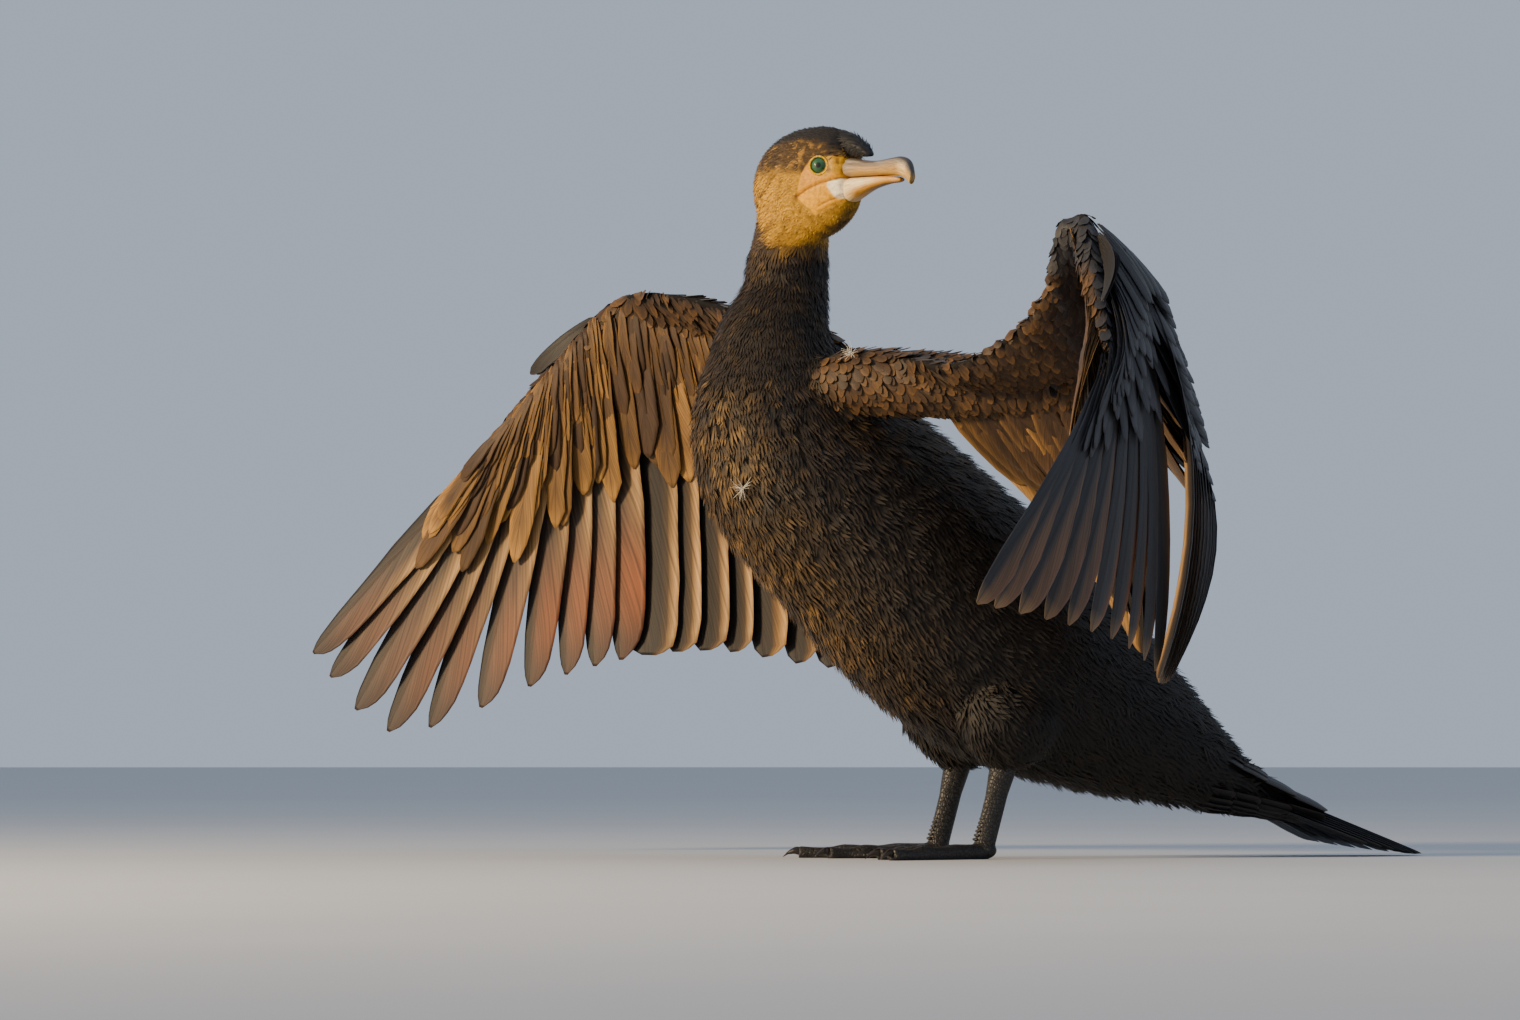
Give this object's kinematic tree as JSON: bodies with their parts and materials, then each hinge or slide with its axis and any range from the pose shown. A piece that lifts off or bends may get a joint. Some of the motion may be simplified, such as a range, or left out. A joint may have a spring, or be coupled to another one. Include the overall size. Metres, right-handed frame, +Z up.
{
  "type": "cormorant model",
  "caption": "Life-size still model of a great cormorant standing upright with both wings spread to dry.",
  "frame": {"origin": "on the floor under the middle of the bird's bounding box", "axes": "+Z up, the bird's breast faces -Y and its left wing is on +X"},
  "size_m": [0.931, 0.6102, 0.4774],
  "materials": {
    "head_plumage": "short dark brown feathering with buff cheeks",
    "body_plumage": "black-brown glossy contour feathers with paler tips",
    "wing_feathers": "tan and golden brown undersides, dark slate uppersides",
    "tail_feathers": "stiff black-grey tail feathers",
    "horn": "grey and pinkish horn, dark culmen",
    "eye": "emerald green iris, clear gloss",
    "leg_skin": "black-grey scaled skin and dark claws"
  },
  "bodies": {
    "root": {"head": "head_plumage", "neck_upper": "body_plumage", "neck_lower": "body_plumage", "torso": "body_plumage", "tail": "tail_feathers", "bill_upper": "horn", "bill_lower": "horn", "eye_left": "eye", "eye_right": "eye", "thigh_left": "body_plumage", "leg_left": "leg_skin", "foot_left": "leg_skin", "wing_left_upper_arm": "wing_feathers", "wing_left_forearm": "wing_feathers", "wing_left_hand": "wing_feathers", "thigh_right": "body_plumage", "leg_right": "leg_skin", "foot_right": "leg_skin", "wing_right_upper_arm": "wing_feathers", "wing_right_forearm": "wing_feathers", "wing_right_hand": "wing_feathers"}
  },
  "joints": []
}
